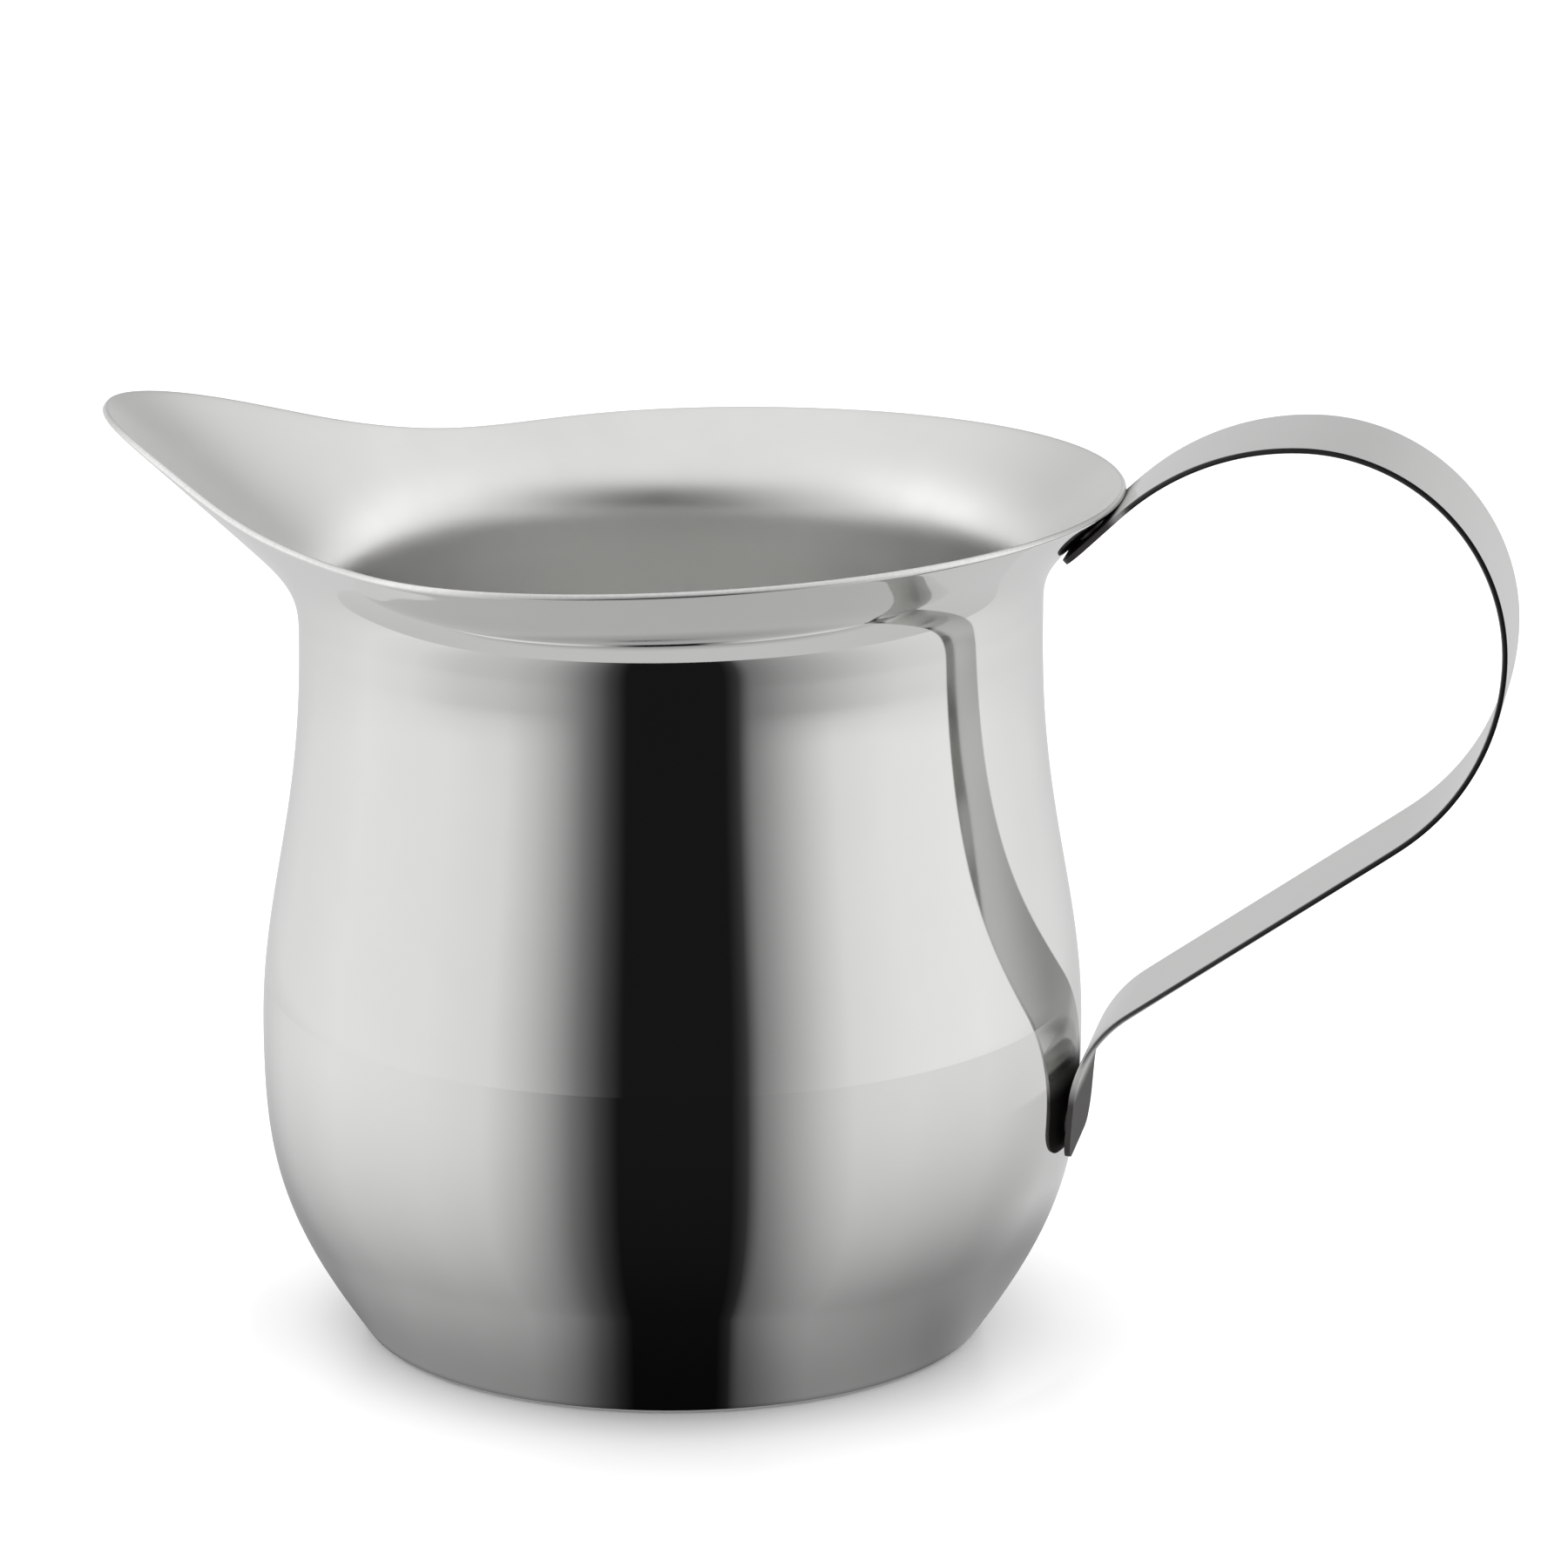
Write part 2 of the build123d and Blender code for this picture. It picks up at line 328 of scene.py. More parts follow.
def shell_profile(shape):
    """Half section of the shell from the middle of the base up, with an upright stand-in for its lip."""
    s = shape.sizes
    opening = pi / 2 - s.foot_lean
    tangent = s.base_corner * tan(opening / 2)
    flat_radius = s.base_radius - tangent
    points = [(flat_radius * k / 6, 0.0) for k in range(7)]
    corner_steps = 5
    for k in range(1, corner_steps + 1):
        swing = opening * k / corner_steps
        points.append((flat_radius + s.base_corner * sin(swing), s.base_corner * (1 - cos(swing))))
    bowl_steps = 15
    for k in range(1, bowl_steps + 1):
        points.append(curve_point(shape.bowl_curve(), k / bowl_steps))
    waist_steps = 14
    for k in range(1, waist_steps + 1):
        points.append(curve_point(shape.waist_curve(), k / waist_steps))
    lip_steps = 18
    lip_height = shape.rim_z - s.neck_height
    for k in range(1, lip_steps + 1):
        points.append((s.neck_radius, s.neck_height + lip_height * k / lip_steps))
    return [Vector((r, 0, z)) for r, z in points]


def shape_lip(mesh_builder, shape):
    """Opens the upright top of the spun shell into the flared lip and its spout."""
    neck = shape.sizes.neck_height
    for vert in mesh_builder.verts:
        if vert.co.z > neck + 1e-6:
            turn = atan2(vert.co.y, vert.co.x)
            part = (vert.co.z - neck) / (shape.rim_z - neck)
            z = neck + part * (shape.rim_height(turn) - neck)
            r = shape.radius(turn, z)
            vert.co = Vector((r * cos(turn), r * sin(turn), z))


def make_shell(shape):
    mesh_builder = bmesh.new()
    profile = chain(mesh_builder, shell_profile(shape))
    bmesh.ops.spin(mesh_builder, geom=profile, cent=(0, 0, 0), axis=(0, 0, 1), angle=2 * pi,
                   steps=144, use_merge=True)
    bmesh.ops.remove_doubles(mesh_builder, verts=mesh_builder.verts, dist=1e-6)
    shape_lip(mesh_builder, shape)
    face_outwards(mesh_builder, lambda centre: centre - BOWL_MIDDLE)
    return new_piece("jug_shell", mesh_builder)


def row_parts(geometry):
    return [e for e in geometry if isinstance(e, (bmesh.types.BMVert, bmesh.types.BMEdge))]


def run_on(mesh_builder, row, step, count):
    """Carries a row of edges straight on, in equal steps."""
    for _ in range(count):
        edges = [e for e in row if isinstance(e, bmesh.types.BMEdge)]
        row = row_parts(bmesh.ops.extrude_edge_only(mesh_builder, edges=edges)["geom"])
        verts = [v for v in row if isinstance(v, bmesh.types.BMVert)]
        bmesh.ops.translate(mesh_builder, vec=step, verts=verts)
    return row


def bend_on(mesh_builder, row, centre, turn):
    """Carries a row of edges round a centre, downwards to the right for a positive turn."""
    steps = ceil(abs(turn) / radians(4.0))
    result = bmesh.ops.spin(mesh_builder, geom=row, cent=centre, axis=(0, 1, 0), angle=turn,
                            steps=steps, use_merge=False)
    return row_parts(result["geom_last"])


def round_end(mesh_builder, end, inwards, reach, sizes):
    """Rounds the two corners of a strap end by drawing its outer columns inwards."""
    flat_half = sizes.width / 2 - sizes.corner
    for vert in mesh_builder.verts:
        along = (vert.co - end).dot(inwards)
        past = abs(vert.co.y) - flat_half
        near = Vector((vert.co.x - end.x, 0, vert.co.z - end.z)).length < reach + 1e-6
        if near and -1e-6 < along < reach and past > 0:
            drawn = sizes.corner - sqrt(max(sizes.corner ** 2 - past ** 2, 0.0))
            vert.co += inwards * drawn * (1 - along / reach)


def make_strap(path, sizes):
    mesh_builder = bmesh.new()
    columns = 18
    ys = [-cos(pi * k / columns) * sizes.width / 2 for k in range(columns + 1)]
    row = chain(mesh_builder, [path.start + Vector((0, y, 0)) for y in ys])
    top_steps = 10
    row = run_on(mesh_builder, row, path.start_direction * (path.top_length / top_steps), top_steps)
    row = bend_on(mesh_builder, row, path.shoulder_centre, path.shoulder_turn)
    row = bend_on(mesh_builder, row, path.crown_centre, pi / 2)
    row = bend_on(mesh_builder, row, path.heel_centre, path.heel_turn)
    run_steps = 12
    row = run_on(mesh_builder, row, path.run_direction * (path.run_length / run_steps), run_steps)
    row = bend_on(mesh_builder, row, path.toe_centre, -path.toe_turn)
    tab_steps = 10
    run_on(mesh_builder, row, path.end_direction * (sizes.lower_tab / tab_steps), tab_steps)
    round_end(mesh_builder, path.start, path.start_direction, path.top_length, sizes)
    round_end(mesh_builder, path.end, -path.end_direction, sizes.lower_tab, sizes)
    face_outwards(mesh_builder, lambda centre: -path.upper_out)
    return new_piece("handle_strap", mesh_builder)


# Shader writing

class Socket:
    """An output of a node. Sums and products of it add the Math nodes they need."""

    def __init__(self, shader, socket):
        self.shader = shader
        self.socket = socket

    def math(self, operation, *others):
        values = dict(enumerate((self,) + others))
        return self.shader.node("ShaderNodeMath", {"operation": operation}, values)

    def __add__(self, other):
        return self.math("ADD", other)

    def __sub__(self, other):
        return self.math("SUBTRACT", other)

    def __mul__(self, other):
        return self.math("MULTIPLY", other)

    def __truediv__(self, other):
        return self.math("DIVIDE", other)

    def __radd__(self, other):
        return self.math("ADD", other)

    def __rmul__(self, other):
        return self.math("MULTIPLY", other)

    def __rsub__(self, other):
        return (self * -1.0) + other

    def ramp(self, low, high):
        """0 up to low, 1 from high on, smooth between them."""
        settings = {"interpolation_type": "SMOOTHSTEP"}
        values = {"Value": self, "From Min": low, "From Max": high}
        return self.shader.node("ShaderNodeMapRange", settings, values)


class Shader:
    """Adds nodes to one tree."""

    def __init__(self, tree):
        self.tree = tree

    def node(self, kind, settings=None, values=None, output=0):
        node = self.tree.nodes.new(kind)
        for key, setting in (settings or {}).items():
            if key == "stops":
                self.set_stops(node.color_ramp, setting)
            else:
                setattr(node, key, setting)
        for key, value in (values or {}).items():
            if isinstance(value, Socket):
                self.tree.links.new(value.socket, node.inputs[key])
            else:
                node.inputs[key].default_value = value
        return Socket(self, node.outputs[output]) if node.outputs else node

    def set_stops(self, ramp, stops):
        while len(ramp.elements) > 1:
            ramp.elements.remove(ramp.elements[-1])
        ramp.elements[0].position = stops[0][0]
        for position, _ in stops[1:]:
            ramp.elements.new(position)
        for element, (_, grey) in zip(ramp.elements, stops):
            element.color = (grey, grey, grey, 1.0)

    def coordinates(self, scale=(1, 1, 1)):
        """The piece's own place in metres, stretched."""
        place = self.node("ShaderNodeTexCoord", output="Object")
        return self.node("ShaderNodeMapping", None, {"Vector": place, "Scale": scale})

    def noise(self, scale, per_metre=(1, 1, 1), detail=2.0, roughness=0.5):
        place = self.coordinates(per_metre)
        values = {"Vector": place, "Scale": scale, "Detail": detail, "Roughness": roughness}
        return self.node("ShaderNodeTexNoise", None, values)

    def mix(self, strength, first, second):
        """Colour between two others."""
        values = {0: strength, 6: first, 7: second}
        return self.node("ShaderNodeMix", {"data_type": "RGBA"}, values, 2)

    def grey(self, level):
        """Grey whose brightness varies."""
        return self.node("ShaderNodeCombineColor", None, {"Red": level, "Green": level, "Blue": level})

    def bumped(self, height):
        """Normal of a surface that stands up by the given height in metres."""
        return self.node("ShaderNodeBump", None, {"Height": height, "Distance": 1.0, "Strength": 1.0})

    def height_of(self, place):
        return self.node("ShaderNodeSeparateXYZ", None, {"Vector": place}, "Z")

    def distance_to(self, point):
        place = self.node("ShaderNodeTexCoord", output="Object")
        settings = {"operation": "DISTANCE"}
        return self.node("ShaderNodeVectorMath", settings, {0: place, 1: tuple(point)}, "Value")

    def distance_in_profile(self, point):
        """Distance in metres from a point, seen along Y."""
        values = {0: self.coordinates((1, 0, 1)), 1: (point.x, 0, point.z)}
        return self.node("ShaderNodeVectorMath", {"operation": "DISTANCE"}, values, "Value")


def new_material(name):
    material = bpy.data.materials.new(name)
    material.use_nodes = True
    material.node_tree.nodes.clear()
    return material, Shader(material.node_tree)


def finish_material(shader, values):
    surface = shader.node("ShaderNodeBsdfPrincipled", None, values)
    shader.node("ShaderNodeOutputMaterial", None, {"Surface": surface})


def tinted(shader, colour, strength, amount):
    """The given colour, a little darker where the strength is high."""
    darker = tuple(c * (1 - amount) for c in colour)
    return shader.mix(strength, (*colour, 1), (*darker, 1))


def brighter(colour, gain):
    return [gain * part for part in colour]


def weld_marks(shader, middle, strap):
    """1 at the heart of the two electrode marks on either side of a point, 0 outside them."""
    marks = None
    for side in (-1, 1):
        centre = middle + Vector((0, side * strap.weld_half_pitch, 0))
        mark = 1 - shader.distance_to(centre).ramp(strap.weld_radius * 0.3, strap.weld_radius)
        marks = mark if marks is None else marks + mark
    return marks


def outside_polish(finish):
    """Buffed bright outside: slight waves of the drawn sheet and faint rings left by the buffing wheel."""
    material, shader = new_material("steel_outside")
    waves = shader.noise(70.0, (1, 1, 0.6), 1.0)
    rings = shader.noise(1.0, (900, 900, 14000), 3.0, 0.6)
    clouds = shader.noise(160.0, (1, 1, 1), 4.0, 0.6)
    height = waves * 1.6e-5 + rings * 8e-8
    values = {
        "Base Color": tinted(shader, finish.shell_colour, clouds, 0.04),
        "Metallic": 1.0,
        "Roughness": finish.outside_roughness * 0.7 + clouds * (finish.outside_roughness * 0.6),
        "Normal": shader.bumped(height),
    }
    finish_material(shader, values)
    return material


def inside_satin(finish, path, strap, wall_thickness):
    """Satin inside: upright draw lines down the wall, painted light that lifts the wall's colour more than
    the flare's, and two weld marks.
    """
    material, shader = new_material("steel_inside")
    draw_lines = shader.noise(1.0, (2600, 2600, 60), 3.0, 0.6)
    clouds = shader.noise(120.0, (1, 1, 1), 4.0, 0.6)
    marks = weld_marks(shader, path.lower_contact - Vector((wall_thickness, 0, 0)), strap)
    # Painted light: the inside wall's colour is lifted more than the flare's, brightening the shaded bowl
    wall = tinted(shader, brighter(finish.shell_colour, INSIDE_WALL_LIGHT_GAIN), clouds, 0.05)
    flare = tinted(shader, brighter(finish.shell_colour, INSIDE_FLARE_LIGHT_GAIN), clouds, 0.05)
    values = {
        "Base Color": shader.mix(shader.height_of(shader.coordinates()).ramp(*INSIDE_LIGHT_EASES), wall, flare),
        "Metallic": 1.0,
        "Roughness": finish.inside_roughness * 0.75 + clouds * (finish.inside_roughness * 0.5) + marks * 0.1,
        "Normal": shader.bumped(draw_lines * 1.2e-6 + clouds * 3e-6 + marks * 6e-6),
    }
    finish_material(shader, values)
    return material


def cut_edge(finish):
    """Trimmed and tumbled edge of the sheet."""
    material, shader = new_material("steel_cut_edge")
    grain = shader.noise(3000.0, (1, 1, 1), 3.0)
    values = {
        "Base Color": tinted(shader, finish.shell_colour, grain, 0.15),
        "Metallic": 1.0,
        "Roughness": 0.16 + grain * 0.15,
    }
    finish_material(shader, values)
    return material


def strip_polish(finish, path, strap):
    """Polished strip with fine lines along its length, its welded ends near-black, duller and marked."""
    material, shader = new_material("steel_strip")
    grain = shader.noise(1.0, (120, 9000, 120), 3.0, 0.6)
    clouds = shader.noise(220.0, (1, 1, 1), 3.0, 0.6)
    lower = weld_marks(shader, path.lower_contact + path.lower_out * strap.thickness, strap)
    upper = weld_marks(shader, path.upper_contact + path.upper_out * strap.thickness, strap)
    marks = lower + upper
    from_lower = shader.distance_in_profile(path.lower_contact)
    from_upper = shader.distance_in_profile(path.upper_contact)
    past_lower = from_lower.ramp(strap.lower_tab * 0.5, strap.lower_tab * 1.2)
    past_upper = from_upper.ramp(strap.top_tab * 0.5, strap.top_tab * 1.1)
    # Near-black, duller and less metallic stretch at both ends of the strap, where it meets the shell
    dark_ends = 1 - past_lower * past_upper
    clean = tinted(shader, brighter(finish.strap_colour, STRAP_GAIN), clouds, 0.06)
    polish = finish.strap_roughness * 0.8 + grain * (finish.strap_roughness * 0.4)
    values = {
        "Base Color": shader.mix(dark_ends, clean, END_BLACK),
        "Metallic": 1 - dark_ends * 0.85,
        "Roughness": polish + dark_ends * 0.5,
        "Normal": shader.bumped(grain * 5e-7 + clouds * 2e-6 - marks * 6e-6),
    }
    finish_material(shader, values)
    return material


def fused_metal(finish):
    """Dull, finely grained metal of a spot weld."""
    material, shader = new_material("steel_weld")
    grain = shader.noise(5000.0, (1, 1, 1), 4.0, 0.7)
    values = {
        "Base Color": tinted(shader, finish.weld_colour, grain, 0.35),
        "Metallic": 1.0,
        "Roughness": 0.35 + grain * 0.3,
        "Normal": shader.bumped(grain * 1e-5),
    }
    finish_material(shader, values)
    return material


# Operators

class BuildShell(bpy.types.Operator):
    """Spin the shell, open its lip and spout, and give it its wall and finish"""
    bl_idname = "cream_jug.build_shell"
    bl_label = "Build Shell"

    def execute(self, context):
        shape = ShellShape(sizes_of("jug_shell_sizes"))
        strap = sizes_of("jug_strap_sizes")
        finish = sizes_of("jug_steel_finish")
        shell = make_shell(shape)
        inside = inside_satin(finish, StrapPath(shape, strap), strap, shape.sizes.wall)
        for material in (outside_polish(finish), inside, cut_edge(finish)):
            shell.data.materials.append(material)
        add_modifier(shell, "SOLIDIFY", thickness=shape.sizes.wall, offset=-1.0, use_even_offset=True,
                     material_offset=1, material_offset_rim=2)
        add_modifier(shell, "BEVEL", width=shape.sizes.wall / 5, segments=2, profile=0.5,
                     limit_method="ANGLE", angle_limit=radians(50.0))
        add_modifier(shell, "SUBSURF", levels=1, render_levels=1)
        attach(shell, "root")
        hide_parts("body")
        return {"FINISHED"}


class BuildStrap(bpy.types.Operator):
    """Run the handle strap round its bends and give it its thickness and finish"""
    bl_idname = "cream_jug.build_strap"
    bl_label = "Build Strap Handle"

    def execute(self, context):
        sizes = sizes_of("jug_strap_sizes")
        path = StrapPath(ShellShape(sizes_of("jug_shell_sizes")), sizes)
        strap = make_strap(path, sizes)
        strap.data.materials.append(strip_polish(sizes_of("jug_steel_finish"), path, sizes))
        add_modifier(strap, "SOLIDIFY", thickness=sizes.thickness, offset=0.0, use_even_offset=True)
        add_modifier(strap, "BEVEL", width=sizes.thickness / 5, segments=2, profile=0.5,
                     limit_method="ANGLE", angle_limit=radians(50.0))
        add_modifier(strap, "SUBSURF", levels=1, render_levels=1)
        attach(strap, "root")
        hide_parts("handle")
        return {"FINISHED"}


class FinishWelds(bpy.types.Operator):
    """Give the four spot-weld nuggets between strap and shell their finish"""
    bl_idname = "cream_jug.finish_welds"
    bl_label = "Finish Welds"

    def execute(self, context):
        material = fused_metal(sizes_of("jug_steel_finish"))
        for node in ("upper_welds", "lower_welds"):
            welds = frame["nodes"][node]
            welds.data.materials.clear()
            welds.data.materials.append(material)
        return {"FINISHED"}


# Studio

TABLE_REACH = 3.0
TABLE_HOLE = 0.0001
# The low screen starts at about the edge of the jug's base, and the cards lie just under the table
SCREEN_HOLE = 0.0262
CARD_DROP = 0.0002
LAMP_PLACE = (-0.05, 0.05, 0.8)
LAMP_SIZE = 0.6
LAMP_POWER = 0.8


def stage_material(name, colour, roughness):
    material, shader = new_material(name)
    finish_material(shader, {"Base Color": (*colour, 1), "Roughness": roughness, "Specular IOR Level": 0.3})
    return material


def stage_spun(name, outline, material):
    """A stage piece spun from its half section, facing up."""
    mesh_builder = bmesh.new()
    profile = chain(mesh_builder, [Vector((r, 0, z)) for r, z in outline])
    bmesh.ops.spin(mesh_builder, geom=profile, cent=(0, 0, 0), axis=(0, 0, 1), angle=2 * pi,
                   steps=96, use_merge=True)
    face_outwards(mesh_builder, lambda centre: Vector((0, 0, 1)))
    piece = new_piece(name, mesh_builder)
    piece.data.materials.append(material)
    return piece


def stage_card(name, outline, make_light):
    """A glowing card that shows in the polish but not by itself, and throws neither light nor shade."""
    material, shader = new_material(name)
    shader.node("ShaderNodeOutputMaterial", None, {"Surface": make_light(shader)})
    card = stage_spun(name, outline, material)
    card.visible_camera = False
    card.visible_diffuse = False
    card.visible_shadow = False
    card.visible_transmission = False


def side_bearing(shader, direction, turn):
    """Bearing of a direction from the viewer's side, -pi to pi, growing towards the viewer's right."""
    dot = {"operation": "DOT_PRODUCT"}
    ahead = shader.node("ShaderNodeVectorMath", dot, {0: direction, 1: (sin(turn), -cos(turn), 0)}, "Value")
    right = shader.node("ShaderNodeVectorMath", dot, {0: direction, 1: (cos(turn), sin(turn), 0)}, "Value")
    return right.math("ARCTAN2", ahead), ahead, right


def side_greys(shader, bearing, greys):
    """Grey looked up by bearing, from pairs of degrees and grey."""
    stops = [(degrees / 360 + 0.5, grey) for degrees, grey in greys]
    return shader.node("ShaderNodeValToRGB", {"stops": stops}, {"Fac": bearing / (2 * pi) + 0.5})


# White surround seen steeply downwards, with a dark upright gap on the viewer's side
LOW_GREYS = ((-180, 0.68), (-164, 0.68), (-150, 0.74), (-130, 0.82), (-106, 0.9), (-86, 0.85), (-67, 0.68),
             (-50, 0.6), (-40, 0.5), (-33, 0.38), (-25, 0.2), (-18, 0.06), (-13, 0.01), (17, 0.01),
             (21, 0.04), (25, 0.19), (35, 0.33), (46, 0.46), (60, 0.62), (75, 0.76), (90, 0.82), (110, 0.88),
             (130, 0.82), (150, 0.74), (164, 0.68), (180, 0.68))
# The same at table height
MIDDLE_GREYS = ((-180, 0.68), (-164, 0.7), (-140, 0.86), (-106, 0.96), (-70, 0.92), (-50, 0.84), (-40, 0.64),
                (-33, 0.46), (-25, 0.2), (-18, 0.06), (-13, 0.01), (17, 0.01), (21, 0.04), (25, 0.24),
                (35, 0.5), (43, 0.7), (51, 0.86), (68, 0.95), (97, 1.0), (140, 0.86), (164, 0.7), (180, 0.68))
# The same higher up, where the gap is screened and a soft light stands on each side
HIGH_GREYS = ((-180, 0.52), (-150, 0.56), (-125, 0.9), (-104, 1.3), (-85, 1.15), (-60, 0.78), (-30, 0.5),
              (-2, 0.08), (16, 0.08), (36, 0.42), (60, 0.78), (85, 1.15), (104, 1.25), (125, 0.8),
              (150, 0.42), (180, 0.52))
# Upward parts of a direction between which one band of the surround gives way to the next
LOW_TO_MIDDLE = (-0.245, -0.19)
MIDDLE_TO_HIGH = (0.16, 0.36)
HIGH_TO_CEILING = (0.6, 0.95)
CEILING = (0.9, 0.9, 0.9, 1)
# What lights the table, which is brighter than what the polish shows, and what the view itself sees
TABLE_LIGHT = (1.85, 1.85, 1.85, 1)
WHITE = (1, 1, 1, 1)


def surround_light(studio):
    """Surround that is white to look at, banded in the polish, and even light for the table."""
    world = bpy.data.worlds.new("surround")
    world.use_nodes = True
    world.node_tree.nodes.clear()
    bpy.context.scene.world = world
    shader = Shader(world.node_tree)
    direction = shader.node("ShaderNodeTexCoord", output="Generated")
    bearing, _, _ = side_bearing(shader, direction, studio.view_turn)
    upward = {0: direction, 1: (0, 0, 1)}
    up = shader.node("ShaderNodeVectorMath", {"operation": "DOT_PRODUCT"}, upward, "Value")
    bands = (LOW_GREYS, MIDDLE_GREYS, HIGH_GREYS)
    low, middle, high = (side_greys(shader, bearing, greys) for greys in bands)
    lower = shader.mix(up.ramp(*LOW_TO_MIDDLE), low, middle)
    sides = shader.mix(up.ramp(*MIDDLE_TO_HIGH), lower, high)
    in_polish = shader.mix(up.ramp(*HIGH_TO_CEILING), sides, CEILING)
    lit = shader.mix(shader.node("ShaderNodeLightPath", output="Is Diffuse Ray"), in_polish, TABLE_LIGHT)
    shown = shader.mix(shader.node("ShaderNodeLightPath", output="Is Camera Ray"), lit, WHITE)
    light = shader.node("ShaderNodeBackground", None, {"Color": shown, "Strength": studio.surround})
    shader.node("ShaderNodeOutputWorld", None, {"Surface": light})


# The wall throws back twice a bearing beside the foot, and less than twice further out
DOUBLED = 2.0
MIRROR_SPREAD = 1.28
MIRROR_LEAD = 0.00734
STRAIGHT_BEHIND = 3.14
# Grey of the screen at its inner edge, and what is added towards its outer edge and up its height, so that
# painted shade darkens it near the foot
SCREEN_GREY = 0.32
OUTWARD_GAIN = 0.15
UPWARD_GAIN = 0.51
OUTWARD_START = 0.0265
# Distances from the axis over which the shade against the foot ends, and how much light it leaves
FOOT_SHADE = (0.0258, 0.027)
LEFT_AT_FOOT = 0.3
# Distances to the right over which the handle's shade sets in, its strength, and how it lifts with height
HANDLE_SHADE = (0.01, 0.03)
SHADE_STRENGTH = 0.4
SHADE_LIFT = 0.7
# Bearings, in radians to the right and to the left, over which the screen fades out
RIGHT_END = (0.95, 1.35)
LEFT_END = (1.7, 2.1)


def screen_light(shader, studio):
    """The low screen: the surround's sides, with painted shade darkening it towards the foot, open at the
    handle and behind.
    """
    place = shader.node("ShaderNodeTexCoord", output="Object")
    bearing, ahead, right = side_bearing(shader, place, studio.view_turn)
    from_axis = (ahead * ahead + right * right).math("SQRT")
    rise = shader.height_of(place).ramp(0.0, studio.screen_height)
    mirrored = bearing * DOUBLED * from_axis / (from_axis * MIRROR_SPREAD - MIRROR_LEAD)
    within_circle = mirrored.math("MINIMUM", STRAIGHT_BEHIND).math("MAXIMUM", -STRAIGHT_BEHIND)
    shown = side_greys(shader, within_circle, MIDDLE_GREYS)
    outward = from_axis.ramp(OUTWARD_START, studio.screen_radius)
    # Painted shade: the screen is darkest low down and close to the jug's foot
    level = outward * OUTWARD_GAIN + rise * UPWARD_GAIN + SCREEN_GREY
    at_foot = from_axis.ramp(*FOOT_SHADE) * (1 - LEFT_AT_FOOT) + LEFT_AT_FOOT
    at_handle = 1 - right.ramp(*HANDLE_SHADE) * (1 - rise * SHADE_LIFT) * SHADE_STRENGTH
    dimmed = {0: 1.0, 6: shown, 7: shader.grey(level * at_foot * at_handle)}
    colour = shader.node("ShaderNodeMix", {"data_type": "RGBA", "blend_type": "MULTIPLY"}, dimmed, 2)
    light = shader.node("ShaderNodeEmission", None, {"Color": colour, "Strength": 1.0})
    clear = shader.node("ShaderNodeBsdfTransparent")
    faded = bearing.ramp(*RIGHT_END).math("MAXIMUM", (bearing * -1.0).ramp(*LEFT_END))
    return shader.node("ShaderNodeMixShader", None, {0: faded, 1: light, 2: clear})


# Distances from the axis over which the jug's painted shadow on the table card fades, and the card's greys in
# it and past it
TABLE_SHADOW_FADES = (0.036, 0.055)
TABLE_SHADOWED_GREY = 0.32
TABLE_OPEN_GREY = 0.66


def table_light(shader):
    """The pale table as the polish shows it, with the jug's shadow painted on it near the jug."""
    # Painted shadow: the card is darker close to the jug, as the floor in its shade
    out_of_shadow = shader.distance_to(Vector((0, 0, 0))).ramp(*TABLE_SHADOW_FADES)
    level = out_of_shadow * (TABLE_OPEN_GREY - TABLE_SHADOWED_GREY) + TABLE_SHADOWED_GREY
    return shader.node("ShaderNodeEmission", None, {"Color": shader.grey(level), "Strength": 1.0})


def area_light(name, place, aim, size, power):
    light = bpy.data.lights.new(name, "AREA")
    light.shape = "DISK"
    light.size = size
    light.energy = power
    lamp = bpy.data.objects.new(name, light)
    bpy.context.scene.collection.objects.link(lamp)
    lamp.location = place
    lamp.rotation_euler = (Vector(aim) - Vector(place)).to_track_quat("-Z", "Y").to_euler()
    return lamp


def add_camera(studio):
    camera = bpy.data.objects.new("view", bpy.data.cameras.new("view"))
    bpy.context.scene.collection.objects.link(camera)
    target = Vector(studio.view_target)
    turn = studio.view_turn
    lift = studio.view_lift
    back = Vector((sin(turn) * cos(lift), -cos(turn) * cos(lift), sin(lift)))
    camera.location = target + back * studio.view_distance
    camera.rotation_euler = back.to_track_quat("Z", "Y").to_euler()
    camera.data.sensor_width = 36.0
    camera.data.lens = studio.view_lens
    camera.data.clip_start = 0.01
    camera.data.clip_end = 20.0
    bpy.context.scene.camera = camera


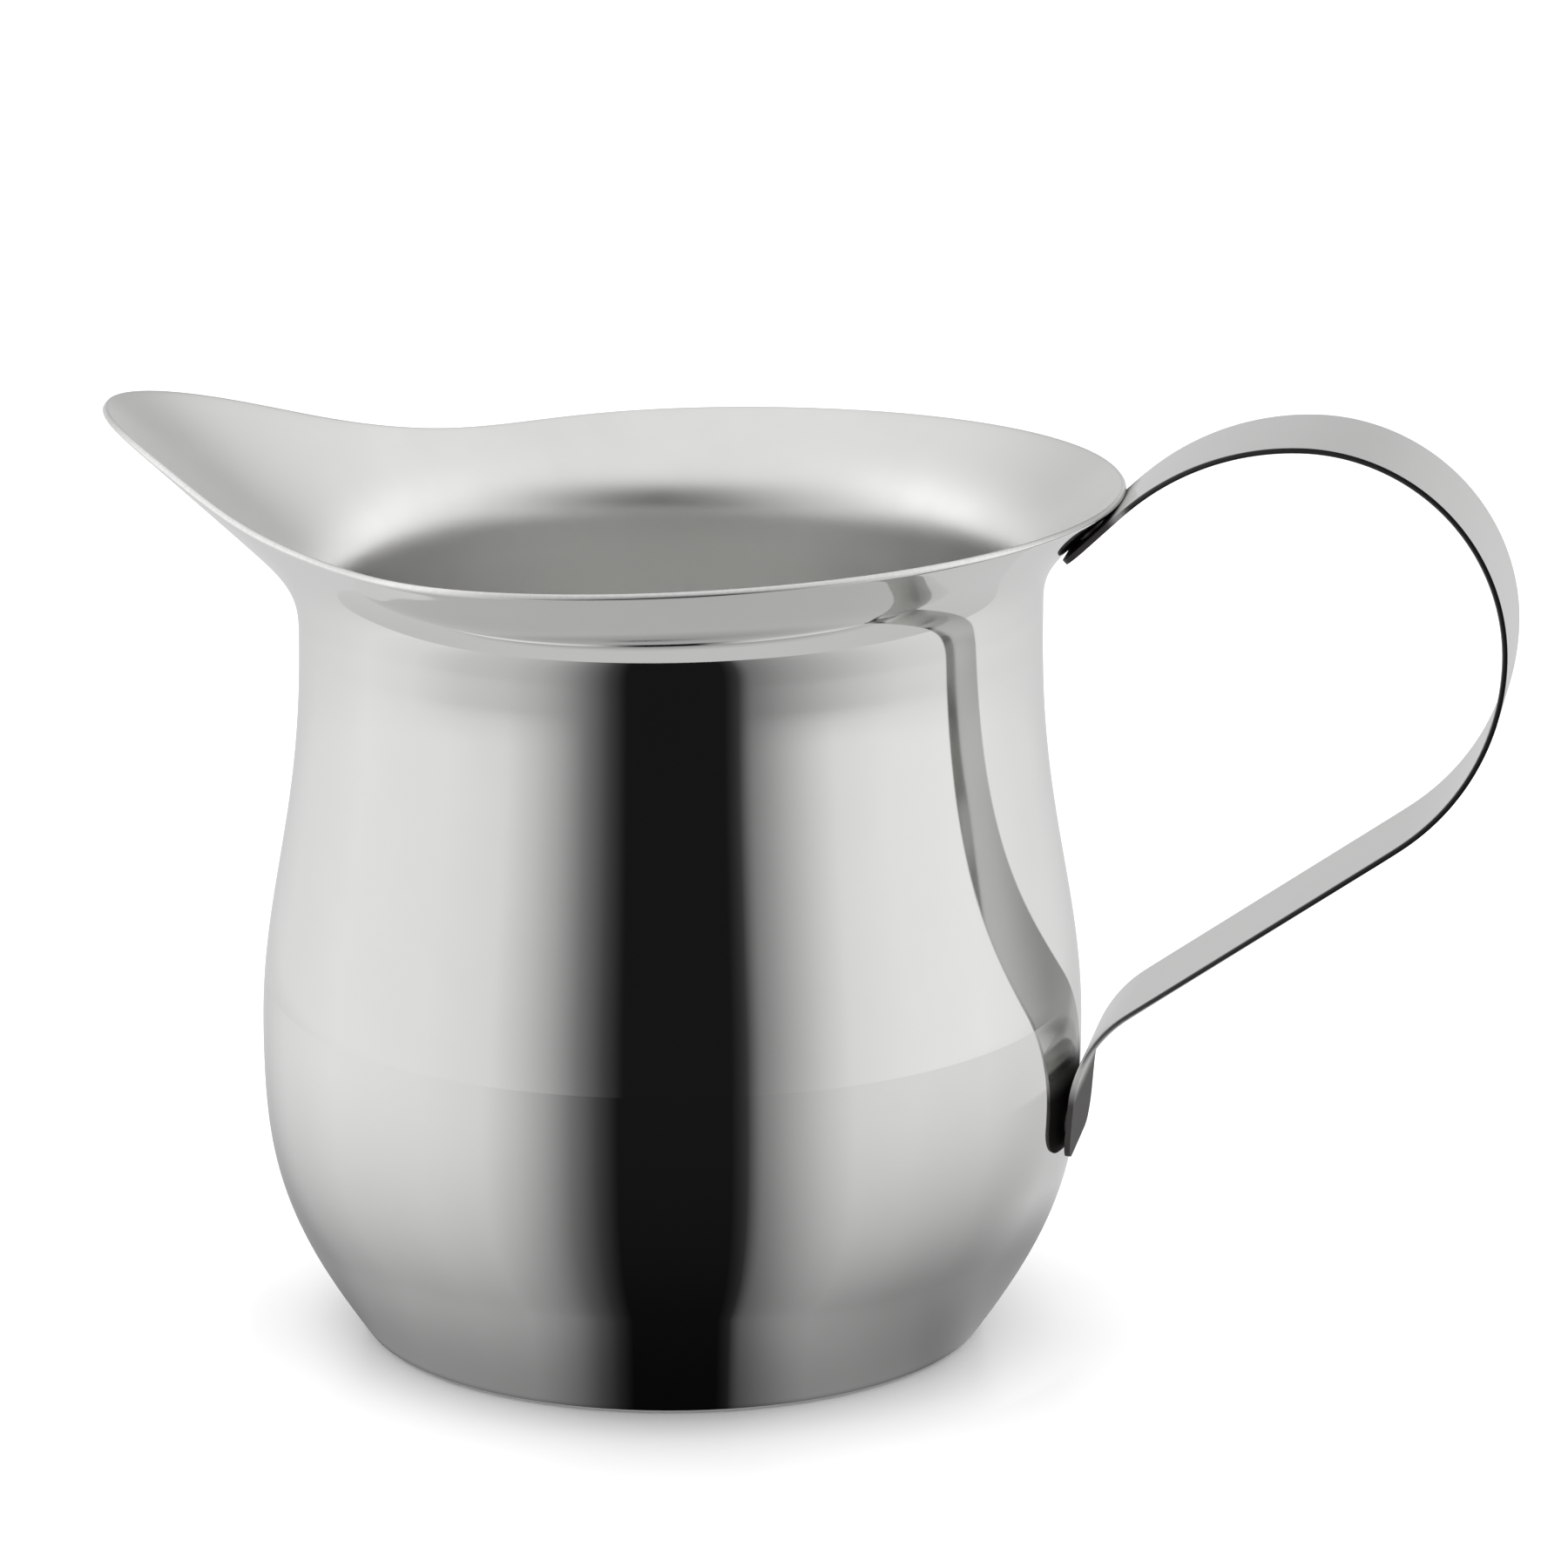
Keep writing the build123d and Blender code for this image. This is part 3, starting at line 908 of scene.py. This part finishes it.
class BuildStudio(bpy.types.Operator):
    """Lay the table, light the white surround and place the view"""
    bl_idname = "cream_jug.build_studio"
    bl_label = "Build Studio"

    def execute(self, context):
        studio = sizes_of("jug_studio")
        white = stage_material("table_white", (0.9, 0.9, 0.9), roughness=0.3)
        table = stage_spun("table", ((TABLE_HOLE, 0.0), (TABLE_REACH, 0.0)), white)
        table.visible_glossy = False
        table_outline = ((TABLE_HOLE, -2 * CARD_DROP), (studio.table_radius, -2 * CARD_DROP))
        stage_card("table_card", table_outline, table_light)
        screen_outline = ((SCREEN_HOLE, -CARD_DROP), (studio.screen_radius, -CARD_DROP),
                          (studio.screen_radius, studio.screen_height))
        stage_card("screen_card", screen_outline, lambda shader: screen_light(shader, studio))
        surround_light(studio)
        overhead = area_light("overhead", LAMP_PLACE, (0, 0, 0), LAMP_SIZE, LAMP_POWER)
        overhead.visible_glossy = False
        add_camera(studio)
        context.scene.view_settings.view_transform = "Standard"
        return {"FINISHED"}


class CreamJugPanel(bpy.types.Panel):
    bl_idname = "VIEW3D_PT_cream_jug"
    bl_label = "Cream Jug"
    bl_space_type = "VIEW_3D"
    bl_region_type = "UI"
    bl_category = "Cream Jug"

    def draw(self, context):
        for operator in operators:
            self.layout.operator(operator.bl_idname)
        for name in settings_groups:
            box = self.layout.box()
            group = getattr(context.scene, name)
            for key in group.bl_rna.properties.keys():
                if key not in ("rna_type", "name"):
                    box.prop(group, key)


operators = (BuildShell, BuildStrap, FinishWelds, BuildStudio)
settings_groups = {
    "jug_shell_sizes": ShellSizes,
    "jug_strap_sizes": StrapSizes,
    "jug_steel_finish": SteelFinish,
    "jug_studio": StudioSettings,
}


def register():
    for group in (*settings_groups.values(), *operators, CreamJugPanel):
        bpy.utils.register_class(group)
    for name, group in settings_groups.items():
        setattr(bpy.types.Scene, name, bpy.props.PointerProperty(type=group))


def unregister():
    for name in settings_groups:
        delattr(bpy.types.Scene, name)
    for group in reversed((*settings_groups.values(), *operators, CreamJugPanel)):
        bpy.utils.unregister_class(group)


def main():
    register()
    bpy.ops.cream_jug.build_shell()
    bpy.ops.cream_jug.build_strap()
    bpy.ops.cream_jug.finish_welds()
    bpy.ops.cream_jug.build_studio()


if __name__ == "__main__":
    main()
